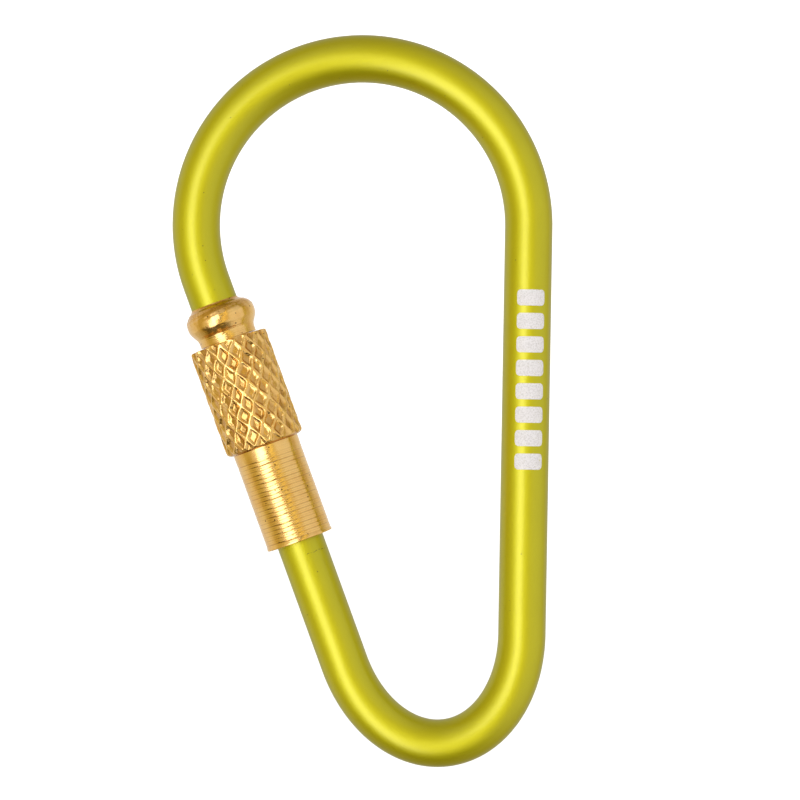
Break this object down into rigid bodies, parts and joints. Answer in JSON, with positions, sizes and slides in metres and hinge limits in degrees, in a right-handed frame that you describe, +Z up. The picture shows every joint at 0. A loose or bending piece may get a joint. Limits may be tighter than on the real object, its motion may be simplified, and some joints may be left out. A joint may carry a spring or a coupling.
{
  "type": "locking carabiner",
  "caption": "Pear-shaped accessory carabiner bent from round rod, closed by a brass ferrule, a sliding sleeve and a knurled screw nut.",
  "frame": {"origin": "inside crest of the wide bow, where the carabiner hangs on a hook, ring or strap", "axes": "+Z up along the straight spine, +X from the closure side towards the spine, +Y through the thickness"},
  "size_m": [0.04, 0.0084, 0.0769],
  "materials": {
    "anodised_rod": "satin yellow-green anodising",
    "turned_brass": "bright turned brass with fine tool lines",
    "knurled_brass": "bright diamond-knurled brass",
    "white_print": "thin white pad-printed ink, slightly worn"
  },
  "bodies": {
    "frame": {"frame_rod": "anodised_rod", "top_ferrule": "turned_brass"},
    "sleeve": {"slide_sleeve": "turned_brass"},
    "nut": {"lock_nut": "knurled_brass"}
  },
  "joints": [
    {"name": "sleeve_slide", "type": "slide", "parent": "frame", "child": "sleeve", "axis": [0.3567, 0, -0.9342], "range_m": [0, 0.01]},
    {"name": "nut_turn", "type": "hinge", "parent": "sleeve", "child": "nut", "pos_m": [-0.01539, 0, -0.02377], "axis": [0.3567, 0, -0.9342], "continuous": true}
  ]
}
